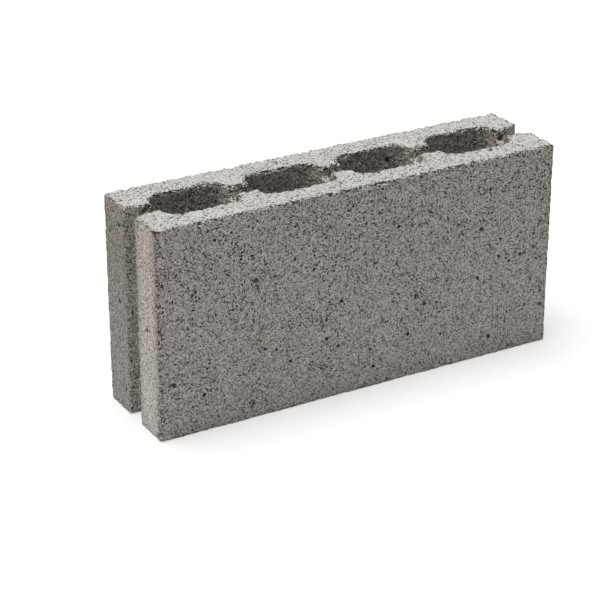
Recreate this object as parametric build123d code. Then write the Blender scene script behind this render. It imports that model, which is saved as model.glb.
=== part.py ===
from build123d import *
from math import atan2, degrees, radians, tan
import os

# A hollow concrete block for thin walls, pressed as one piece from a dry mix in a steel mould with four cores.
# Millimetres, +Z up. X runs along the block and Y through the wall. The origin is on the floor, under its middle.
# It stands as it leaves the mould: the bed face where the bar over the cores lay is the upper one.

# Outside of the block
length = 390.0
thickness = 95.0
height = 190.0
upright_corner_radius = 2.5
bed_edge_radius = 1.5

# Walls round the cores, measured at the upper bed face
core_count = 4
face_shell = 24.0
cross_web = 20.0
end_web = 25.0

# Cores. Each wall leans in by core_lean from top to bottom, so that the block slides off the cores
core_corner_radius = 14.0
core_lean = 1.5
core_rim_easing = 1.5

# Upright groove down the middle of each end, which fills with mortar
end_groove_width = 20.0
end_groove_depth = 12.0
end_groove_back_radius = 6.0

# Channel that the core bar leaves across the middle of every web
bar_channel_width = 14.0
bar_channel_depth = 10.0
bar_channel_floor_radius = 3.0
bar_channel_easing = 1.5

# Slope of the eased rims, from upright
easing_angle = 45.0

# How far a cutting shape passes the faces that it cuts
overrun = 5.0

# A round stays under this share of the form that it is cut in
round_limit_share = 0.9

# Worked out from the sizes above
core_length = (length - 2 * end_web - (core_count - 1) * cross_web) / core_count
core_width = thickness - 2 * face_shell
core_pitch = core_length + cross_web


def plan_outline():
    """The block seen from above: a rectangle with round corners and a round-backed groove in each end."""
    beside_groove = (end_groove_width + thickness) / 4
    back_radius = min(end_groove_back_radius, round_limit_share * end_groove_width / 2)
    with BuildSketch() as plan:
        Rectangle(length, thickness)
        fillet(plan.vertices(), upright_corner_radius)
        with Locations((-length / 2, 0), (length / 2, 0)):
            Rectangle(2 * end_groove_depth, end_groove_width, mode=Mode.SUBTRACT)
        corners = plan.vertices().filter_by_position(Axis.Y, -beside_groove, beside_groove).group_by(Axis.X)
        fillet(corners[1] + corners[-2], back_radius)
        corners = plan.vertices().filter_by_position(Axis.Y, -beside_groove, beside_groove).group_by(Axis.X)
        fillet(corners[0] + corners[-1], upright_corner_radius)
    return plan.sketch


def core_outline(level):
    """A core's outline at a height: a rounded rectangle, drawn in towards the bottom by the lean of its walls."""
    inset = core_lean * (height - level) / height
    across = core_width - 2 * inset
    corner_radius = min(core_corner_radius - inset, round_limit_share * across / 2)
    return Pos(0, 0, level) * RectangleRounded(core_length - 2 * inset, across, corner_radius)


def core_shape():
    """A core: leaning walls right through the block, with a flare at each bed face that eases its rim."""
    lean_angle = degrees(atan2(core_lean, height))
    flare = core_rim_easing + overrun
    shaft = extrude(core_outline(height + overrun), amount=-height - 2 * overrun, taper=lean_angle)
    upper_flare = extrude(core_outline(height - core_rim_easing), amount=flare, taper=-easing_angle)
    lower_flare = extrude(core_outline(core_rim_easing), amount=-flare, taper=-easing_angle)
    return shaft + upper_flare + lower_flare


def bar_channel():
    """A trough along the top, with its floor corners rounded and its upper edges eased."""
    half_width = bar_channel_width / 2
    floor = height - bar_channel_depth
    shoulder = height - bar_channel_easing
    mouth = half_width + (bar_channel_easing + overrun) * tan(radians(easing_angle))
    with BuildPart() as trough:
        with BuildSketch(Plane.YZ.offset(-length / 2 - overrun)) as section:
            with BuildLine():
                Polyline(
                    (-mouth, height + overrun),
                    (-half_width, shoulder),
                    (-half_width, floor),
                    (half_width, floor),
                    (half_width, shoulder),
                    (mouth, height + overrun),
                    close=True,
                )
            make_face()
            fillet(section.vertices().group_by(Axis.Z)[0], bar_channel_floor_radius)
        extrude(amount=length + 2 * overrun)
    return trough.part


# The pressing: the outline raised to the full height, less the cores
block = extrude(plan_outline(), height)
core = core_shape()
first_core = -core_pitch * (core_count - 1) / 2
for i in range(core_count):
    block -= Pos(first_core + i * core_pitch, 0, 0) * core

# Worn edges of both bed faces
beds = block.faces().filter_by(Axis.Z)
bed_edges = [edge for bed in beds for edge in bed.outer_wire().edges()]
block = block.fillet(min(bed_edge_radius, round_limit_share * upright_corner_radius), bed_edges)

# The mark of the core bar, across the webs
block -= bar_channel()

os.makedirs("parts", exist_ok=True)
export_step(block, "parts/block.step")
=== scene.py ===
import bpy
import numpy as np
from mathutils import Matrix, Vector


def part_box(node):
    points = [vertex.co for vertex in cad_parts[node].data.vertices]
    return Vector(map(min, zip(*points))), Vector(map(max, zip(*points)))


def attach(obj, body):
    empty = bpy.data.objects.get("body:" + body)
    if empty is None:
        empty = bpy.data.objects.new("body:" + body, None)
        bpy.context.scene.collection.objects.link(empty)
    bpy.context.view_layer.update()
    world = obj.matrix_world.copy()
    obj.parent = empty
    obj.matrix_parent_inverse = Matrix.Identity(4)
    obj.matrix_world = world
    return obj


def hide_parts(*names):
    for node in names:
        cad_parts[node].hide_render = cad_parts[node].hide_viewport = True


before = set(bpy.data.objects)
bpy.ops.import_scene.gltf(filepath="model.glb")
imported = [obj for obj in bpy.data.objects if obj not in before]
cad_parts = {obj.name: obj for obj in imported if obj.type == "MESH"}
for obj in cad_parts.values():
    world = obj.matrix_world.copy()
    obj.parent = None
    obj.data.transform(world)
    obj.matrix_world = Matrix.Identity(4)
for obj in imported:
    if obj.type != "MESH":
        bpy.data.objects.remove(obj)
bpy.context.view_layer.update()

# The block is one piece of dry-mix concrete, pressed in a steel mould round four cores and let out at once.
# Its skin is open and sandy: grains stand proud, air holes stay between them, and the edges crumble.
# A net of lines covers each bed face. The outside and the core walls carry its edge down as one closed skin.

# Sizes in millimetres. They are the solid's own, apart from the upright corners, which are 0.5 mm crisper
low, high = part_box("block")
length, thickness, height = [1000 * (b - a) for a, b in zip(low, high)]
half_length, half_thickness = length / 2, thickness / 2
core_count = 4
face_shell, end_web, cross_web = 24.0, 25.0, 20.0
groove_width, groove_depth = 20.0, 12.0
corner_round, groove_back_round, core_round = 2.0, 6.0, 14.0
bed_round, rim_round = 1.5, 1.5
core_lean = 1.5

# The channel along the top: half its width at the floor and at the mouth, and its depth.
# The rows of the walls under it bend down with it, less and less as far as its reach.
channel_floor, channel_mouth, channel_depth = 7.0, 8.5, 10.0
channel_reach = 40.0

# The net's stops, where a core, groove or channel begins or ends, and the number of steps between two stops
core_length = (length - 2 * end_web - (core_count - 1) * cross_web) / core_count
core_starts = end_web - half_length + (core_length + cross_web) * np.arange(core_count)
core_ends = core_starts + core_length
core_side = half_thickness - face_shell
groove_back = half_length - groove_depth
x_stops = np.sort(np.r_[-half_length, -groove_back, core_starts, core_ends, groove_back, half_length])
y_half = np.array([channel_floor, channel_mouth, groove_width / 2, core_side, half_thickness])
y_stops = np.r_[-y_half[::-1], y_half]
x_steps = np.array([6, 7, 35, 10, 35, 10, 35, 10, 35, 7, 6])
y_steps = np.array([12, 7, 1, 3, 7, 3, 1, 7, 12])

# Which stop is which, and the number of the net's line at each stop
left_end, left_back, right_back, right_end = 0, 1, 10, 11
near_side, core_near, groove_near, groove_far, core_far, far_side = 0, 1, 2, 7, 8, 9
x_at = np.r_[0, np.cumsum(x_steps)]
y_at = np.r_[0, np.cumsum(y_steps)]


def ruled(stops, steps, ends, power=1.4, swing=0.09):
    """Lines between stops, each stretch in its own number of steps, finer where it ends on a worn edge.

    At step share t, a stretch is t of the way where its letter is e (even), t to the power where it is s
    (finer at its start), 1 - (1 - t) to the power where it is f (finer at its finish), and
    t - swing sin(2 pi t) where it is b (finer at both).
    """
    lines = []
    for start, stop, count, kind in zip(stops, stops[1:], steps, ends):
        t = np.arange(count) / count
        way = {"e": t, "s": t**power, "f": 1 - (1 - t) ** power, "b": t - swing * np.sin(2 * np.pi * t)}[kind]
        lines.append(start + (stop - start) * way)
    return np.concatenate(lines + [stops[-1:]])


x_lines = ruled(x_stops, x_steps, "sbeeeeeeebf")
y_lines = ruled(y_stops, y_steps, "bfeeeeesb")


def walk(corners):
    """Net indices round a closed outline: from corner to corner along the net's lines, one step to a line."""
    legs = []
    for start, stop in zip(corners, np.roll(corners, -1, axis=0)):
        steps = np.abs(stop - start).max()
        legs.append(start + np.arange(steps)[:, None] * np.sign(stop - start))
    return np.concatenate(legs)


def rounded(path, corners, rounds, hair=1e-6):
    """Plan points of an outline with round corners, and their normals towards the air on its right.

    Away from the corners the points stay on the net. Within one radius of a corner, a point at distance s
    before it goes to the angle 45 degrees times (1 - s / radius) of the arc, and one after it to 45 degrees
    times (1 + s / radius).
    """
    plan = np.stack([x_lines[path[:, 0]], y_lines[path[:, 1]]], 1)
    tips = np.stack([x_lines[corners[:, 0]], y_lines[corners[:, 1]]], 1)
    points = plan.copy()
    along = np.sign(np.roll(plan, -1, axis=0) - plan)
    for tip, before, after, radius in zip(tips, np.roll(tips, 1, axis=0), np.roll(tips, -1, axis=0), rounds):
        u, v = np.sign(tip - before), np.sign(after - tip)
        back, on = (tip - plan) @ u, (plan - tip) @ v
        coming = (np.abs(on) < hair) & (back >= 0) & (back <= radius)
        going = (np.abs(back) < hair) & (on >= 0) & (on <= radius)
        near = coming | going
        turn = np.pi / 4 * (1 + np.where(going, on, -back) / radius)[near, None]
        points[near] = tip + radius * (v - u + u * np.sin(turn) - v * np.cos(turn))
        along[near] = u * np.cos(turn) + v * np.sin(turn)
    return points, np.stack([along[:, 1], -along[:, 0]], 1)


# The outlines in plan, with the air on the right: the outside with its two grooves, then the cores
outside = np.array([
    (left_end, near_side), (right_end, near_side),
    (right_end, groove_near), (right_back, groove_near), (right_back, groove_far), (right_end, groove_far),
    (right_end, far_side), (left_end, far_side),
    (left_end, groove_far), (left_back, groove_far), (left_back, groove_near), (left_end, groove_near),
])
core_spans = [(stop, stop + 1) for stop in range(left_back + 1, right_back, 2)]
cores = [[(a, core_near), (a, core_far), (b, core_far), (b, core_near)] for a, b in core_spans]
corners_round = [np.array([(x_at[i], y_at[j]) for i, j in stops]) for stops in [outside] + cores]
outside_rounds = [groove_back_round if i in (left_back, right_back) else corner_round for i, _ in outside]
rounds = [outside_rounds] + [[core_round] * 4] * core_count
edge_rounds = [bed_round] + [rim_round] * core_count
leans = [0.0] + [core_lean] * core_count
paths = [walk(corners) for corners in corners_round]
outlines = [rounded(*given) for given in zip(paths, corners_round, rounds)]

# The net's meshes outside the cores and grooves, its points that they use, and the numbers of those points
meshes = np.ones((len(x_lines) - 1, len(y_lines) - 1), bool)
for a, b in core_spans:
    meshes[x_at[a]:x_at[b], y_at[core_near]:y_at[core_far]] = False
for a, b in [(left_end, left_back), (right_back, right_end)]:
    meshes[x_at[a]:x_at[b], y_at[groove_near]:y_at[groove_far]] = False
used = np.zeros((len(x_lines), len(y_lines)), bool)
for i, j in np.ndindex(2, 2):
    used[i:i + len(x_lines) - 1, j:j + len(y_lines) - 1] |= meshes
number = np.cumsum(used.ravel()).reshape(used.shape) - 1
bed_count = int(used.sum())
bed_y = np.broadcast_to(y_lines, used.shape)[used]


def spread(targets, times=300):
    """The net's points, with its outlines drawn to their targets.

    Elsewhere a point's move is the mean of its four neighbours' moves, worked out again that many times.
    """
    flat = np.stack(np.meshgrid(x_lines, y_lines, indexing="ij"), -1)
    move = np.zeros(used.shape + (2,))
    free = used.copy()
    for path, target in zip(paths, targets):
        move[path[:, 0], path[:, 1]] = target - flat[path[:, 0], path[:, 1]]
        free[path[:, 0], path[:, 1]] = False
    ring = np.pad(used, 1).astype(float)
    share = ring[2:, 1:-1] + ring[:-2, 1:-1] + ring[1:-1, 2:] + ring[1:-1, :-2]
    for _ in range(times):
        ring = np.pad(move, ((1, 1), (1, 1), (0, 0)))
        total = ring[2:, 1:-1] + ring[:-2, 1:-1] + ring[1:-1, 2:] + ring[1:-1, :-2]
        move = np.where(free[..., None], total / np.maximum(share, 1)[..., None], move)
    return (flat + move)[used]


def channel(across):
    """Section of the channel at distances across the block: how far a line is drawn in, and how far it drops.

    Both run straight from knot to knot: a level floor with a bent corner, then a steep side up to the mouth.
    """
    knots = np.array([0, 3, 5, channel_floor, 7.5, 8, channel_mouth])
    drawn = np.interp(np.abs(across), knots, [0, 0, 0, 0.2, 0.5, 0.8, 0])
    drop = np.interp(np.abs(across), knots, channel_depth * np.array([1, 1, 0.98, 0.8, 0.45, 0.14, 0]))
    return np.sign(across) * drawn, drop


def bed(level):
    """A bed face: the net inside the eased edges at that level. The channel is pressed into the upper one."""
    below = (height - level) / height
    targets = [points + normals * (lean * below - edge_round)
               for (points, normals), lean, edge_round in zip(outlines, leans, edge_rounds)]
    plan = spread(targets)
    drawn, drop = channel(bed_y)
    carved = float(level > 0)
    return np.c_[plan[:, 0], plan[:, 1] - carved * drawn, level - carved * drop]


def wall(path, outline, edge_round, lean, levels):
    """Rows of a wall between the beds: a quarter round in 30 degree steps, the levels, and a quarter round.

    A row lies off the outline by the lean times its depth, less the round times (1 - sin) of its angle on it.
    Near the channel, rows within its reach of the top sink by its section, less and less with depth.
    """
    points, normals = outline
    angle = np.radians([30, 60])
    rise = np.r_[height - edge_round * (1 - np.cos(angle)), levels, edge_round * (1 - np.cos(angle[::-1]))]
    inset = np.r_[edge_round * (1 - np.sin(angle)), 0 * levels, edge_round * (1 - np.sin(angle[::-1]))]
    off = lean * (height - rise) / height - inset
    plan = points + normals * off[:, None, None]
    drawn, drop = channel(y_lines[path[:, 1]])
    share = np.clip(1 - (height - rise) / channel_reach, 0, 1)[:, None]
    return np.stack([plan[..., 0], plan[..., 1] - share * drawn, rise[:, None] - share * drop], -1)


# Levels of the rows, from the top down: finer in a band at the outside's edges and high in the cores
edge_band, core_band = 12.5, 42.0
outside_stops = np.array([height - bed_round, height - edge_band, edge_band, bed_round])
core_stops = np.array([height - rim_round, height - core_band, rim_round])
levels = [ruled(outside_stops, [8, 74, 8], "sef")] + [ruled(core_stops, [18, 32], "se")] * core_count
walls = [wall(*given) for given in zip(paths, outlines, edge_rounds, leans, levels)]
points = np.concatenate([bed(height), bed(0.0)] + [rows.reshape(-1, 3) for rows in walls])

# Meshes of the two beds, from the net's lines at the four corners of each, and of the walls, whose first and
# last rows are the beds' own outlines
i, j = np.nonzero(meshes)
mesh_x = np.stack([i, i + 1, i + 1, i], 1)
mesh_y = np.stack([j, j, j + 1, j + 1], 1)
upper = number[mesh_x, mesh_y]
quads = [upper, upper[:, ::-1] + bed_count]
first = 2 * bed_count
for path, rows in zip(paths, walls):
    rim = number[path[:, 0], path[:, 1]]
    rows_at = first + np.arange(rows.shape[0] * rows.shape[1]).reshape(rows.shape[:2])
    rows_at = np.concatenate([rim[None], rows_at, rim[None] + bed_count])
    ahead = np.roll(rows_at, -1, axis=1)
    quads.append(np.stack([rows_at[:-1], rows_at[1:], ahead[1:], ahead[:-1]], -1).reshape(-1, 4))
    first += rows.shape[0] * rows.shape[1]
quads = np.concatenate(quads)


def gathered(vectors):
    """Unit vectors at the points: the vectors of each point's meshes, added up and brought to length 1."""
    total = [np.bincount(quads.ravel(), np.repeat(vectors[:, k], 4), len(points)) for k in range(3)]
    return np.stack(total, 1) / np.linalg.norm(total, axis=0)[:, None]


def skin_normals():
    """Unit normals at the points, from the cross products of their meshes' diagonals."""
    a, b, c, d = (points[quads[:, k]] for k in range(4))
    return gathered(np.cross(c - a, d - b))


def blended(normals, times):
    """Unit normals that go over smoothly at an edge.

    Each time, a point takes the mean of its meshes' mean normals, brought to length 1.
    """
    for _ in range(times):
        normals = gathered(normals[quads].mean(axis=1))
    return normals


def chance(cubes, salt):
    """A fixed number from 0 to 1 for each cube of space, by mixing the bits of its indices and of a salt."""
    strides = np.array([73856093, 19349663, 83492791], np.uint32)
    indices = (cubes.astype(np.int64) + 4096).astype(np.uint32)
    mixed = np.bitwise_xor.reduce(indices * strides, axis=-1) ^ np.uint32(salt * 40503 + 977)
    mixed = (mixed ^ (mixed >> np.uint32(16))) * np.uint32(0x7FEB352D)
    mixed = (mixed ^ (mixed >> np.uint32(15))) * np.uint32(0x846CA68B)
    return (mixed ^ (mixed >> np.uint32(16))) / 2.0**32


def lumps(points, size, salt):
    """Smooth hills from -1 to 1: a chance height at each corner of a grid of cubes, blended between them."""
    scaled = points / size
    cube = np.floor(scaled)
    part = scaled - cube
    part = part * part * (3 - 2 * part)
    total = np.zeros(len(points))
    for corner in np.ndindex(2, 2, 2):
        total += np.prod(np.where(corner, part, 1 - part), axis=1) * chance(cube + corner, salt)
    return 2 * total - 1


def hollows(points, size, salt, share, smallest, largest):
    """Depth of round holes, one to a cube of that size in a share of the cubes, at a chance place.

    The radius is the smallest plus the range times the square of a chance value. A hole is as deep as its
    radius in the middle, and shallower by the square of the distance towards its rim.
    """
    scaled = points / size
    cube = np.floor(scaled)
    deepest = np.zeros(len(points))
    for step in np.ndindex(3, 3, 3):
        home = cube + np.array(step) - 1
        middle = home + np.stack([chance(home, salt + k) for k in range(3)], 1)
        radius = smallest + (largest - smallest) * chance(home, salt + 3) ** 2
        there = chance(home, salt + 4) < share
        far = np.linalg.norm(scaled - middle, axis=1) * size / radius
        deepest = np.maximum(deepest, there * radius * np.clip(1 - far**2, 0, 1))
    return deepest


# Which points lie on the beds and on the core walls, and how far a point faces along the block at its ends
beds = slice(2 * bed_count)
core_walls = slice(2 * bed_count + walls[0].shape[0] * walls[0].shape[1], None)
normals = skin_normals()
end_depth = groove_depth + 2
on_end = np.abs(normals[:, 0]) * (np.abs(points[:, 0]) > half_length - end_depth)

# Distances in millimetres to the edges that crumble, on the beds and down the walls.
# The outer edges are the bed edges and upright corners. The inner rims belong to the cores and the channel.
plan, no_edge = points[:, :2], 99.0
core_rims = np.concatenate([rim for rim, _ in outlines[1:]])
from_bed = np.minimum(points[:, 2], height - points[:, 2])
from_outer = from_bed.copy()
from_outer[core_walls] = no_edge
from_outer[beds] = np.linalg.norm(plan[beds, None] - outlines[0][0], axis=2).min(axis=1)
from_rim = np.full(len(points), no_edge)
from_rim[core_walls] = from_bed[core_walls]
from_rim[beds] = np.linalg.norm(plan[beds, None] - core_rims, axis=2).min(axis=1)

# The middle of a corner's round lies 0.41 of its radius from the sharp tip. The wear goes further on the end,
# the corners of the grooves are sheltered, and the channel's lips break a little inside its mouth.
arc_gap = 0.41 * corner_round
end_wear, groove_shelter, lip_inset = 1.5, 2.0, 0.6
tips = np.stack([x_lines[corners_round[0][:, 0]], y_lines[corners_round[0][:, 1]]], 1)
from_tips = np.linalg.norm(plan[:, None] - tips, axis=2) - arc_gap
block_tips = np.isin(outside[:, 1], [near_side, far_side])
groove_tips = np.isin(outside[:, 0], [left_end, right_end]) & ~block_tips
from_block_tip = from_tips[:, block_tips].min(axis=1) / (1 + end_wear * on_end)
from_groove_tip = from_tips[:, groove_tips].min(axis=1) + groove_shelter
from_lip = np.abs(np.abs(points[:bed_count, 1]) - channel_mouth + lip_inset)
from_outer = np.maximum(np.minimum(from_outer, np.minimum(from_block_tip, from_groove_tip)), 0)
from_rim[:bed_count] = np.minimum(from_rim[:bed_count], from_lip)

# How much a place crumbles: 1 on an edge, and less by the bell curve of the distance over the worn width
worn_width = 2.2
outer_edge = np.exp(-(from_outer / worn_width) ** 2)
inner_rim = np.exp(-(from_rim / worn_width) ** 2)
edge = np.maximum(outer_edge, inner_rim)

# How open the skin is: the ends, pressed against plain plates, are closer than the rest. By the same share
# the ends are painted darker, as shade.
end_closeness_and_shade = 0.9
openness_and_end_shade = 1 - end_closeness_and_shade * on_end

# Inside: the core walls, the grooves, and the undersides of the webs. There the paste is painted darker and
# browner, as shade in these recesses.
inner = np.zeros(len(points))
inner[core_walls] = 1
inner[(np.abs(points[:, 1]) < groove_width / 2) & (points[:, 2] < height - channel_depth)] = 1

# Where the cores' short walls are, which are painted lighter and browner, as light falling on them.
# It is 0 until the normal's share along the block is 0.75, and 1 from a sixth more.
short_wall_light = np.zeros(len(points))
short_wall_light[core_walls] = np.clip(6 * (np.abs(normals[core_walls, 0]) - 0.75), 0, 1)

# Where the press closed the paste, on both beds, and where fines stained it brown: deep in the channel, and
# on the ends, more and more from the stain's foot upwards.
stain_foot, stain_rise, stained_drop = 60, 110, 2
# On the beds the holes are also painted less dark, as light from above reaches into them.
pressed_and_top_lit = np.zeros(len(points))
pressed_and_top_lit[beds] = 1 - edge[beds]
in_channel = np.zeros(len(points))
in_channel[:bed_count] = channel(bed_y)[1] > stained_drop
stain = (1 - openness_and_end_shade) * np.clip((points[:, 2] - stain_foot) / stain_rise, 0, 1)
stain = np.maximum(stain, in_channel)

# The relief in millimetres: sand of three sizes that stands proud, air holes, crumbled edges and chips.
# The upper edges break most. The bites out of them cut slantwise through an edge: they change with x + y + z.
top_band = 4.0
at_top = np.exp(-((height - points[:, 2]) / top_band) ** 2)
sand = 0.12 * lumps(points, 24, salt=1) + 0.1 * lumps(points, 6, salt=2) + 0.24 * lumps(points, 2.6, salt=3)
holes = hollows(points, 9, salt=10, share=0.3, smallest=1.2, largest=3.2)
crumbs = 0.1 + 0.3 * lumps(points, 4.2, salt=4) + 0.9 * lumps(points, 2.4, salt=5)
crumbs = edge * (0.45 + 0.55 * at_top) * crumbs
outer_chips = hollows(points, 4.5, salt=30, share=0.6, smallest=0.8, largest=1.8)
rim_chips = hollows(points, 5.5, salt=50, share=0.7, smallest=1.3, largest=3.0)
slant = points.sum(axis=1)[:, None] * [1, 0, 0]
bites = np.clip(7 * lumps(slant, 3.4, salt=60) - 3.8, 0, 2.2)
chips = np.maximum((0.4 + 0.6 * at_top) * outer_edge * outer_chips, 1.3 * inner_rim * rim_chips)
chips = np.maximum(chips, at_top * edge * bites)

# The relief goes along normals that turn smoothly at the edges. The bottom stays just clear of the floor.
hole_depth, floor_gap = 0.7, 0.02
points = points + blended(normals, times=8) * (sand - hole_depth * holes - crumbs - chips)[:, None]
points[:, 2] = np.maximum(points[:, 2], floor_gap)


def laid(across, up, corner, size):
    """Places a net of mesh corners in the flat pattern: scaled to the size, from the low corner given."""
    across = (across - across.min()) / np.ptp(across) * size[0] + corner[0]
    up = (up - up.min()) / np.ptp(up) * size[1] + corner[1]
    return np.stack([across, up], -1)


def wall_pattern(outline, rows, boxes):
    """Flat pattern of a wall: the run along its outline to the right, and its rows upwards in even steps.

    The run is split evenly into as many parts as there are boxes, each a low corner and a size, to fill them.
    """
    steps = np.linalg.norm(np.roll(outline[0], -1, axis=0) - outline[0], axis=1)
    run = np.r_[0, np.cumsum(steps)]
    drop = np.linspace(0, height, rows.shape[0] + 2)
    u = np.broadcast_to(np.stack([run[:-1], run[:-1], run[1:], run[1:]], -1), (len(drop) - 1, len(steps), 4))
    v = height - np.stack([drop[:-1], drop[1:], drop[1:], drop[:-1]], -1)
    v = np.broadcast_to(v[:, None], u.shape)
    parts = np.array_split(np.arange(len(steps)), len(boxes))
    filled = [laid(u[:, part], v[:, part], corner, size) for part, (corner, size) in zip(parts, boxes)]
    return np.concatenate(filled, axis=1)


# Flat pattern of the skin for baking, on a square sheet: the outside in two strips, the two beds one over the
# other above them, and the cores beside them. A bed runs along its length and along the channel's section.
sheet, between = 628.0, 3.0
strip_size = (509.0, height + 5)
core_size = (115.0, strip_size[1])
bed_size = (length, thickness + 2 * channel_depth - 6)
second_strip = strip_size[1] + between
beds_from = 2 * second_strip
second_bed = beds_from + bed_size[1] + 2
beside_strips = strip_size[0] + between
section = np.r_[0, np.cumsum(np.hypot(np.diff(y_lines), np.diff(channel(y_lines)[1])))]
bed_u, bed_v = x_lines[mesh_x], section[mesh_y]
wall_boxes = [
    [((0, 0), strip_size), ((0, second_strip), strip_size)],
    [((beside_strips, 0), core_size)],
    [((beside_strips, second_strip), core_size)],
    [((length + between, beds_from), core_size)],
    [((beside_strips, beds_from), core_size)],
]
patterns = [laid(bed_u, bed_v, (0, beds_from), bed_size)]
patterns += [laid(bed_u, bed_v, (0, second_bed), bed_size)[:, ::-1]]
patterns += [wall_pattern(*given) for given in zip(outlines, walls, wall_boxes)]
flat_pattern = np.concatenate([pattern.reshape(-1, 2) for pattern in patterns]) / sheet

# The mesh, with the marks on its points that the concrete reads. Those of holes and chips are full at a depth
# in millimetres, and the whole channel counts as chipped by a share.
full_hole, full_chip, channel_chipped = 2.0, 1.2, 0.37
marks = {
    "hole": np.clip(holes / full_hole, 0, 1),
    "edge": edge,
    "openness_and_end_shade": openness_and_end_shade,
    "chip": np.clip(chips / full_chip, channel_chipped * in_channel, 1),
    "inner": inner,
    "short_wall_light": short_wall_light,
    "pressed_and_top_lit": pressed_and_top_lit,
    "stain": stain,
}
skin = bpy.data.meshes.new("block_skin")
skin.vertices.add(len(points))
skin.vertices.foreach_set("co", (points / 1000).ravel())
skin.loops.add(quads.size)
skin.loops.foreach_set("vertex_index", quads.ravel())
skin.polygons.add(len(quads))
skin.polygons.foreach_set("loop_start", np.arange(0, quads.size, 4))
skin.update(calc_edges=True)
skin.shade_smooth()
skin.uv_layers.new(name="OFBake").uv.foreach_set("vector", flat_pattern.ravel())
for name, values in marks.items():
    skin.attributes.new(name, "FLOAT", "POINT").data.foreach_set("value", values)
skin.validate()
block = bpy.data.objects.new("concrete_block", skin)
bpy.context.collection.objects.link(block)

# Concrete: grey paste with light, dark and brown sand grains, small air holes painted dark as their shade,
# and warmer broken edges with painted shade in the chips
concrete = bpy.data.materials.new("concrete")
concrete.use_nodes = True
concrete_tree = concrete.node_tree
concrete_tree.nodes.clear()


def put(tree, kind, inputs, **settings):
    """Adds a node with its settings, and sets each input by name or number, or links it to a given socket."""
    made = tree.nodes.new(kind)
    for name, value in settings.items():
        setattr(made, name, value)
    for name, value in inputs.items():
        if isinstance(value, bpy.types.NodeSocket):
            tree.links.new(value, made.inputs[name])
        else:
            made.inputs[name].default_value = value
    return made


def math(operation, a, b=0.0, c=0.0, clamp=False):
    """One sum on one, two or three values of the concrete."""
    made = put(concrete_tree, "ShaderNodeMath", {0: a, 1: b, 2: c}, operation=operation, use_clamp=clamp)
    return made.outputs[0]


def blend(kind, amount, a, b):
    """Two colours of the concrete, mixed by an amount."""
    made = put(concrete_tree, "ShaderNodeMix", {0: amount, 6: a, 7: b}, data_type="RGBA", blend_type=kind)
    return made.outputs[2]


def noise(scale, detail):
    """Cloudy value from 0 to 1, and cloudy colour, with that many clouds to the metre."""
    inputs = {"Vector": place, "Scale": scale, "Detail": detail}
    return put(concrete_tree, "ShaderNodeTexNoise", inputs).outputs


def cells(scale):
    """Distance to the nearest of scattered points, that many to the metre, and two chance values of it."""
    made = put(concrete_tree, "ShaderNodeTexVoronoi", {"Vector": stirred, "Scale": scale, "Randomness": 1.0})
    split = put(concrete_tree, "ShaderNodeSeparateColor", {0: made.outputs["Color"]})
    return made.outputs["Distance"], split.outputs[0], split.outputs[1]


def mark(name):
    """One of the marks on the skin's points."""
    return put(concrete_tree, "ShaderNodeAttribute", {}, attribute_name=name).outputs["Fac"]


def pores(scale, crowd, fewest, widest, rim):
    """Air holes: round a point whose chance value with crowd added is over fewest, soon of the widest radius.

    Gives the painted shade of a place, which is full once it is inside the hole by the share rim of the
    radius, and how deep it is, which grows to the hole's middle.
    """
    onset = 25.0
    far, luck, _ = cells(scale)
    size = math("MULTIPLY", math("SUBTRACT", math("ADD", luck, crowd), fewest), onset, clamp=True)
    inside = math("SUBTRACT", math("MULTIPLY", size, widest), far)
    return math("DIVIDE", inside, rim * widest, clamp=True), math("DIVIDE", inside, widest, clamp=True)


def frayed(marked, start):
    """A mark with a frayed border: 6 times (the mark, less its start, plus 0.8 of the dust), from 0 to 1."""
    return math("MULTIPLY", math("MULTIPLY_ADD", dust, 0.8, math("SUBTRACT", marked, start)), 6.0, clamp=True)


# Places on the block, and the same stirred by up to a millimetre, so that grains and holes aren't round
stir_width = 0.0018
place = put(concrete_tree, "ShaderNodeTexCoord", {}).outputs["Object"]
stir = noise(900.0, 2.0)["Color"]
stir = put(concrete_tree, "ShaderNodeVectorMath", {0: stir, 1: (0.5,) * 3}, operation="SUBTRACT").outputs[0]
stirred = put(
    concrete_tree, "ShaderNodeVectorMath", {0: stir, 1: (stir_width,) * 3, 2: place}, operation="MULTIPLY_ADD"
).outputs[0]

# The marks on the skin, and speckles of all sizes: clouds, blotches, dust, sand grains and the finest grains
hole, worn, open_skin_and_end_shade, chip = [mark(name) for name in ("hole", "edge", "openness_and_end_shade", "chip")]
inside_and_shaded, painted_wall_light, closed_and_lit_beds, stained = [mark(name) for name in ("inner", "short_wall_light", "pressed_and_top_lit", "stain")]
above_floor = put(concrete_tree, "ShaderNodeSeparateXYZ", {0: place}).outputs[2]
clouds = noise(14.0, 3.0)[0]
blotches = noise(75.0, 3.0)[0]
dust = noise(1100.0, 2.0)[0]
grain_far, grain_luck, grain_kind = cells(620.0)
fine_luck = cells(1500.0)[1]

# Lumps of sand, and the ragged gaps between them where the skin is open
lump_far = put(
    concrete_tree, "ShaderNodeTexVoronoi", {"Vector": stirred, "Scale": 260.0}, feature="DISTANCE_TO_EDGE"
).outputs["Distance"]
ragged = math("MULTIPLY_ADD", noise(330.0, 2.0)[0], 0.8, -0.46)
lump_gap = math("DIVIDE", math("SUBTRACT", ragged, lump_far), 0.05, clamp=True)
lump_gap = math("MULTIPLY", lump_gap, open_skin_and_end_shade)

# How air holes crowd: in clouds, at worn edges, in open skin and towards the top, less in cores and on beds
crowd = math("MULTIPLY_ADD", noise(42.0, 2.0)[0], 0.34, -0.3)
for where, more in [
    (worn, 0.16),
    (open_skin_and_end_shade, 0.09),
    (above_floor, 0.45),
    (inside_and_shaded, -0.05),
    (closed_and_lit_beds, -0.005),
]:
    crowd = math("MULTIPLY_ADD", where, more, crowd)

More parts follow.
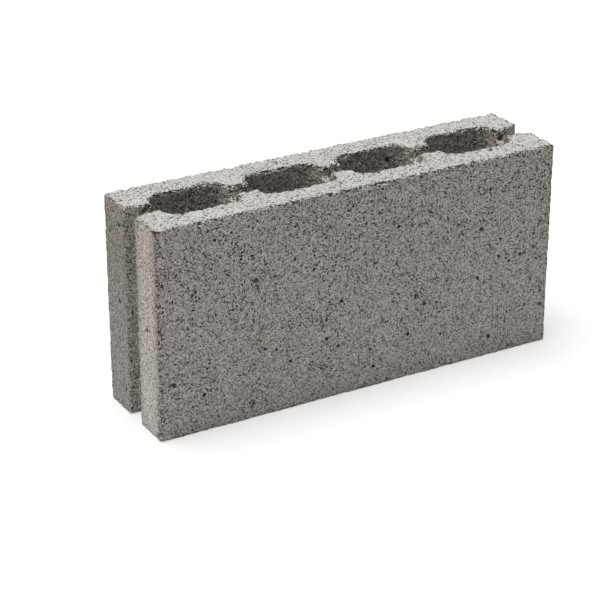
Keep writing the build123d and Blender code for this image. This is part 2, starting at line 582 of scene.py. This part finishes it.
# The relief for the bump: grains, dust, lumps and the teeth of worn edges
relief = math("MULTIPLY_ADD", grain_far, -0.5, 0.5)
teeth = math("MULTIPLY", worn, math("SUBTRACT", noise(420.0, 1.0)[0], 0.5))
for form, tall in [(dust, 0.5), (math("MINIMUM", lump_far, 0.3), 1.2), (teeth, 4.0)]:
    relief = math("MULTIPLY_ADD", form, tall, relief)

# Painted shade: a little in the gaps, and in air holes of four sizes, which also sink in the relief, and in
# the mesh's holes.
# For each size: cells to the metre, the crowd, and the fewest, widest and rim of pores, then the depth.
painted_shade = math("MULTIPLY", lump_gap, 0.25)
for scale, crowded, fewest, widest, rim, depth in [
    (840.0, crowd, 0.84, 0.62, 0.1, 0.5),
    (480.0, crowd, 0.92, 0.47, 0.1, 0.8),
    (270.0, crowd, 0.945, 0.34, 0.2, 1.1),
    (85.0, 0.0, 0.75, 0.16, 0.3, 1.8),
]:
    pore_shade, sunk = pores(scale, crowded, fewest, widest, rim)
    painted_shade = math("MAXIMUM", painted_shade, pore_shade)
    relief = math("SUBTRACT", relief, math("MULTIPLY", sunk, depth))
painted_shade = math("MAXIMUM", painted_shade, math("MULTIPLY", frayed(hole, 0.85), 0.85))

# Light and dark in the paste: a product of swings about 1. The finest grains are light or dark with little
# between, less so on the beds. The sand grains show more inside the cores and grooves.
fine_step = math("MULTIPLY", math("SUBTRACT", fine_luck, 0.25), 4.0, clamp=True)
fine_step = math("SUBTRACT", fine_step, 0.625)
fine_swing = math("MULTIPLY_ADD", closed_and_lit_beds, -0.6, 1.1)
inside_grain = math("MULTIPLY", inside_and_shaded, math("SUBTRACT", grain_luck, 0.5))
tone = math("MULTIPLY_ADD", clouds, 0.18, 0.91)
for speckle, swing, middle in [
    (blotches, 0.06, 0.97),
    (grain_luck, 0.12, 0.94),
    (fine_step, fine_swing, 1.0),
    (dust, 0.6, 0.7),
    (inside_grain, 0.7, 1.0),
]:
    tone = math("MULTIPLY", tone, math("MULTIPLY_ADD", speckle, swing, middle))

# Colours: the paste by place, then its light and dark, brown grains, broken edges with painted shade in the
# chips, and the painted shade of holes
end_painted_shade, open_grey = (0.325, 0.305, 0.282, 1), (0.418, 0.397, 0.367, 1)
stain_tint = (0.95, 0.912, 0.855, 1)
core_painted_shade, short_wall_light_colour = (0.37, 0.347, 0.31, 1), (0.5, 0.44, 0.373, 1)
grain_brown, broken_brown_and_shade = (0.25, 0.2, 0.15, 1), (0.1, 0.076, 0.054, 1)
hole_shade, worn_hole_shade = (0.012, 0.011, 0.009, 1), (0.04, 0.03, 0.022, 1)
bed_hole_lit_shade = (0.06, 0.054, 0.047, 1)
# The ends are painted darker than the sides, as shade; the strip lamp lifts the near shell's end above the
# far one's.
paste = blend("MIX", open_skin_and_end_shade, end_painted_shade, open_grey)
paste = blend("MULTIPLY", stained, paste, stain_tint)
# The cores and grooves are painted darker and browner, as shade in these recesses.
paste = blend("MIX", inside_and_shaded, paste, core_painted_shade)
# The cores' short walls are painted lighter and browner, as light falling on them.
paste = blend("MIX", painted_wall_light, paste, short_wall_light_colour)
paste = blend("MULTIPLY", 1.0, paste, tone)
brown_grain = math("MULTIPLY", math("SUBTRACT", grain_kind, 0.86, clamp=True), 4.0)
paste = blend("MIX", brown_grain, paste, grain_brown)
# Chips, and spots in the channel, are painted dark brown: the broken paste's own brown, and painted shade
# inside the chips.
paste = blend("MIX", math("MULTIPLY", frayed(chip, 0.75), 0.9), paste, broken_brown_and_shade)
# The holes' painted shade is browner at worn edges, and less dark on the beds, where light from above reaches
# into them.
shade_in_holes = blend("MIX", worn, hole_shade, worn_hole_shade)
shade_in_holes = blend("MIX", closed_and_lit_beds, shade_in_holes, bed_hole_lit_shade)
colour = blend("MIX", painted_shade, paste, shade_in_holes)

bump = put(concrete_tree, "ShaderNodeBump", {"Strength": 0.9, "Distance": 0.0012, "Height": relief})
skin_shader = put(
    concrete_tree, "ShaderNodeBsdfPrincipled",
    {"Base Color": colour, "Roughness": 0.95, "Specular IOR Level": 0.2, "Normal": bump.outputs[0]})
put(concrete_tree, "ShaderNodeOutputMaterial", {"Surface": skin_shader.outputs[0]})
skin.materials.append(concrete)

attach(block, "root")
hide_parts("block")

# The floor: a wide plain sheet. The camera sees it pale, so that only the block's shadow shows on it.
# For light that bounces it is mid grey, as a floor round a lit table is.
reach = 6.0
coat_share = 0.53
floor_corners = [(-reach, -reach, 0), (reach, -reach, 0), (reach, reach, 0), (-reach, reach, 0)]
floor_mesh = bpy.data.meshes.new("floor")
floor_mesh.from_pydata(floor_corners, [], [(0, 1, 2, 3)])
floor = bpy.data.objects.new("floor", floor_mesh)
bpy.context.collection.objects.link(floor)
floor_paint = bpy.data.materials.new("floor_paint")
floor_paint.use_nodes = True
floor_tree = floor_paint.node_tree
floor_tree.nodes.clear()
seen = put(floor_tree, "ShaderNodeLightPath", {}).outputs["Is Camera Ray"]
grey_coat = put(floor_tree, "ShaderNodeBsdfDiffuse", {"Color": (0.58, 0.56, 0.54, 1)}).outputs[0]
pale_coat = put(floor_tree, "ShaderNodeBsdfDiffuse", {"Color": (0.7, 0.68, 0.66, 1)}).outputs[0]
pale_glow = put(floor_tree, "ShaderNodeEmission", {"Color": (1, 1, 1, 1), "Strength": 1.0}).outputs[0]
pale = put(floor_tree, "ShaderNodeMixShader", {0: coat_share, 1: pale_glow, 2: pale_coat}).outputs[0]
floor_coat = put(floor_tree, "ShaderNodeMixShader", {0: seen, 1: grey_coat, 2: pale}).outputs[0]
put(floor_tree, "ShaderNodeOutputMaterial", {"Surface": floor_coat})
floor_mesh.materials.append(floor_paint)

# Studio light: a pale room all round that is white where it is seen, a broad lamp and a narrow strip lamp.
# The broad lamp is high, a bit to the left and behind: the top is brightest and the near side in half shade.
# The strip lamp stands at the left and lights the end of the near shell more than that of the far one.
room = bpy.data.worlds.new("studio")
bpy.context.scene.world = room
room.use_nodes = True
room_tree = room.node_tree
room_tree.nodes.clear()
rays = put(room_tree, "ShaderNodeLightPath", {}).outputs
shown = rays["Is Camera Ray"]
for kind in ("Is Glossy Ray", "Is Transmission Ray"):
    shown = put(room_tree, "ShaderNodeMath", {0: shown, 1: rays[kind]}, operation="MAXIMUM").outputs[0]
soft = put(room_tree, "ShaderNodeBackground", {"Color": (1, 1, 1, 1), "Strength": 0.14}).outputs[0]
white = put(room_tree, "ShaderNodeBackground", {"Color": (1, 1, 1, 1), "Strength": 1.0}).outputs[0]
either = put(room_tree, "ShaderNodeMixShader", {0: shown, 1: soft, 2: white}).outputs[0]
put(room_tree, "ShaderNodeOutputWorld", {"Surface": either})


def facing(back):
    """Turns of an object whose own +Z points along back: its lean from upright, then about the vertical."""
    return np.arctan2(np.hypot(back[0], back[1]), back[2]), 0.0, np.arctan2(back[0], -back[1])


lamp_data = bpy.data.lights.new("broad_lamp", "SUN")
lamp_data.energy = 5.0
lamp_data.color = (0.94, 0.97, 1.0)
lamp_data.angle = np.radians(40)
lamp = bpy.data.objects.new("broad_lamp", lamp_data)
lamp.rotation_euler = facing((-0.13, 0.05, 0.98))
bpy.context.collection.objects.link(lamp)

strip_data = bpy.data.lights.new("strip_lamp", "AREA")
strip_data.shape = "RECTANGLE"
strip_data.size = 0.24
strip_data.size_y = 0.03
strip_data.spread = np.radians(2)
strip_data.energy = 0.013
strip_data.color = (1.0, 0.98, 0.96)
strip = bpy.data.objects.new("strip_lamp", strip_data)
strip.location = (-0.8, -0.0295, 0.1)
strip.rotation_euler = (0.0, -np.pi / 2, 0.0)
bpy.context.collection.objects.link(strip)

# The camera stands in front, left of the middle, and looks down on the block from 1.8 m through a long lens.
# It aims some way to the left of the block's middle and below it, which sets its place in the picture.
turn, rise, distance = np.radians(-30), np.radians(25), 1.8
aim_left, aim_down = 0.0301, 0.0262
picture_width, focal_pixels = 600, 2070
back = np.array([np.sin(turn) * np.cos(rise), -np.cos(turn) * np.cos(rise), np.sin(rise)])
right = np.array([np.cos(turn), np.sin(turn), 0])
target = np.array([0, 0, height / 2000]) - aim_left * right - aim_down * np.cross(back, right)
camera_data = bpy.data.cameras.new("camera")
camera_data.sensor_width = 36.0
camera_data.lens = camera_data.sensor_width * focal_pixels / picture_width
camera = bpy.data.objects.new("camera", camera_data)
camera.location = target + distance * back
camera.rotation_euler = facing(back)
bpy.context.collection.objects.link(camera)
bpy.context.scene.camera = camera
bpy.context.scene.view_settings.view_transform = "Standard"
